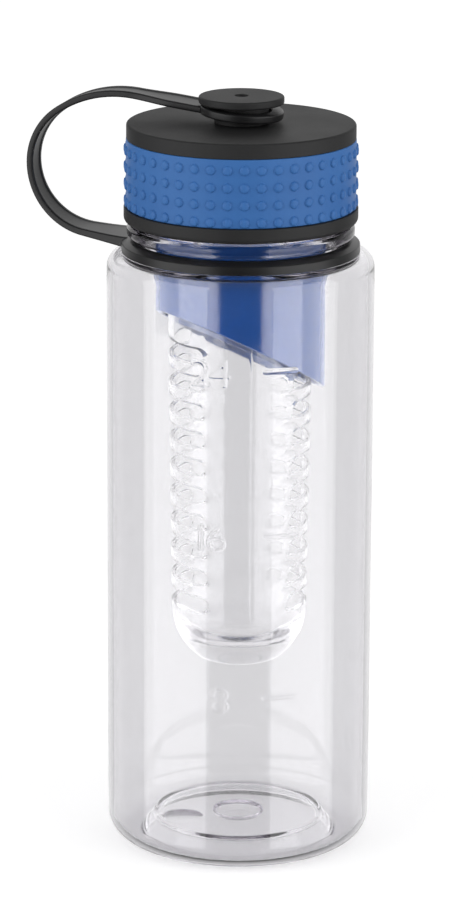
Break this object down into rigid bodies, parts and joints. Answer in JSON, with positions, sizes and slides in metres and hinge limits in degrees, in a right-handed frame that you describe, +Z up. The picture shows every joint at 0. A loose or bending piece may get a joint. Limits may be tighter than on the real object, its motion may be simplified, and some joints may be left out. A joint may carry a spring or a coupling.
{
  "type": "fruit infuser water bottle",
  "caption": "Clear water bottle with a black screw lid on a tether, a dotted blue grip band, and a slotted clear infuser basket hung from the lid by a blue collar.",
  "frame": {"origin": "on the bottle's axis, in the plane that the foot stands on", "axes": "+Z up along the bottle's axis to the lid; -Y is the front, with the volume marks; +X to the right seen from the front, with the tether's loop on the left"},
  "size_m": [0.1044, 0.08, 0.2299],
  "materials": {
    "clear_body": "clear, polished",
    "clear_basket": "clear, polished",
    "black_plastic": "fine matte texture",
    "blue_plastic": "smooth, semi-gloss",
    "blue_rubber": "soft matte",
    "black_rubber": "smooth, satin",
    "seal_rubber": "soft matte"
  },
  "bodies": {
    "bottle": {"bottle_body": "clear_body"},
    "seal": {"lid_seal": "seal_rubber"},
    "lid": {"lid_shell": "black_plastic", "lid_grip_band": "blue_rubber", "tether_stud": "black_plastic"},
    "collar": {"infuser_collar": "blue_plastic"},
    "basket": {"infuser_basket": "clear_basket"},
    "tether": {"tether_ring": "black_rubber", "tether_strap": "black_rubber"},
    "tether_head": {"tether_eyelet": "black_rubber"}
  },
  "joints": [
    {"name": "lid_lift", "type": "slide", "parent": "bottle", "child": "seal", "axis": [0, 0, 1], "range_m": [0, 0.012]},
    {"name": "lid_turn", "type": "hinge", "parent": "seal", "child": "lid", "pos_m": [0, 0, 0.2186], "axis": [0, 0, 1], "range_deg": [0, 540]},
    {"name": "collar_pull", "type": "slide", "parent": "lid", "child": "collar", "axis": [0, 0, -1], "range_m": [0, 0.014]},
    {"name": "basket_pull", "type": "slide", "parent": "collar", "child": "basket", "axis": [0, 0, -1], "range_m": [0, 0.026]},
    {"name": "tether_swivel", "type": "hinge", "parent": "bottle", "child": "tether", "pos_m": [0, 0, 0.185], "axis": [0, 0, 1], "continuous": true},
    {"name": "tether_lift", "type": "slide", "parent": "tether", "child": "tether_head", "axis": [0, 0, 1], "range_m": [0, 0.012], "deforming": ["tether_strap"]}
  ],
  "couplings": [
    {"joint": "lid_turn", "follows": "lid_lift", "rad_per_m": 785.4},
    {"joint": "tether_lift", "follows": "lid_lift", "ratio": 1}
  ]
}
